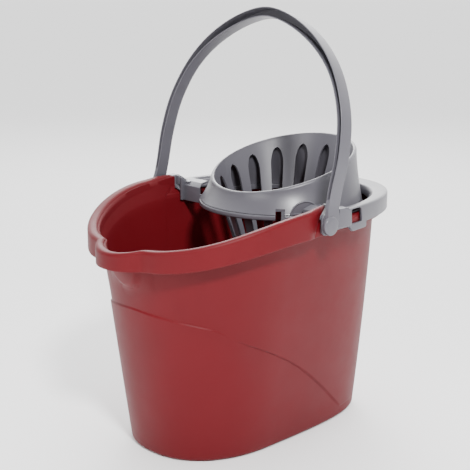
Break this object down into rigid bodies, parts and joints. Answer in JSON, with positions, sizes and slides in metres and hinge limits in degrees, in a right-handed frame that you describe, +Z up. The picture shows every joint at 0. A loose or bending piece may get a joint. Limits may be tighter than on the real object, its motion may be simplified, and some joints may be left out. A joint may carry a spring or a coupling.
{
  "type": "mop bucket with wringer",
  "caption": "Oval mop bucket with a pouring spout, a clip-on rim collar, a lift-out slotted wringer basket and a swing-over bail handle.",
  "frame": {"origin": "centre of the whole object's bounding box in plan, on the floor under the foot ring", "axes": "+Z up, -Y towards the pouring spout, +Y towards the wringer end, +X to the right side seen from behind the wringer"},
  "size_m": [0.3018, 0.3984, 0.5003],
  "materials": {
    "red_plastic": "satin moulded polypropylene",
    "grey_plastic": "satin moulded polypropylene"
  },
  "bodies": {
    "bucket": {"bucket_shell": "red_plastic", "rim_collar": "grey_plastic"},
    "wringer": {"wringer_basket": "grey_plastic"},
    "bail": {"bail_handle": "grey_plastic"}
  },
  "joints": [
    {"name": "wringer_lift", "type": "slide", "parent": "bucket", "child": "wringer", "axis": [0, 0, 1], "range_m": [0, 0.11]},
    {"name": "bail_swing", "type": "hinge", "parent": "bucket", "child": "bail", "pos_m": [0, -0.00455, 0.2704], "axis": [1, 0, 0], "range_deg": [0, 142]}
  ]
}
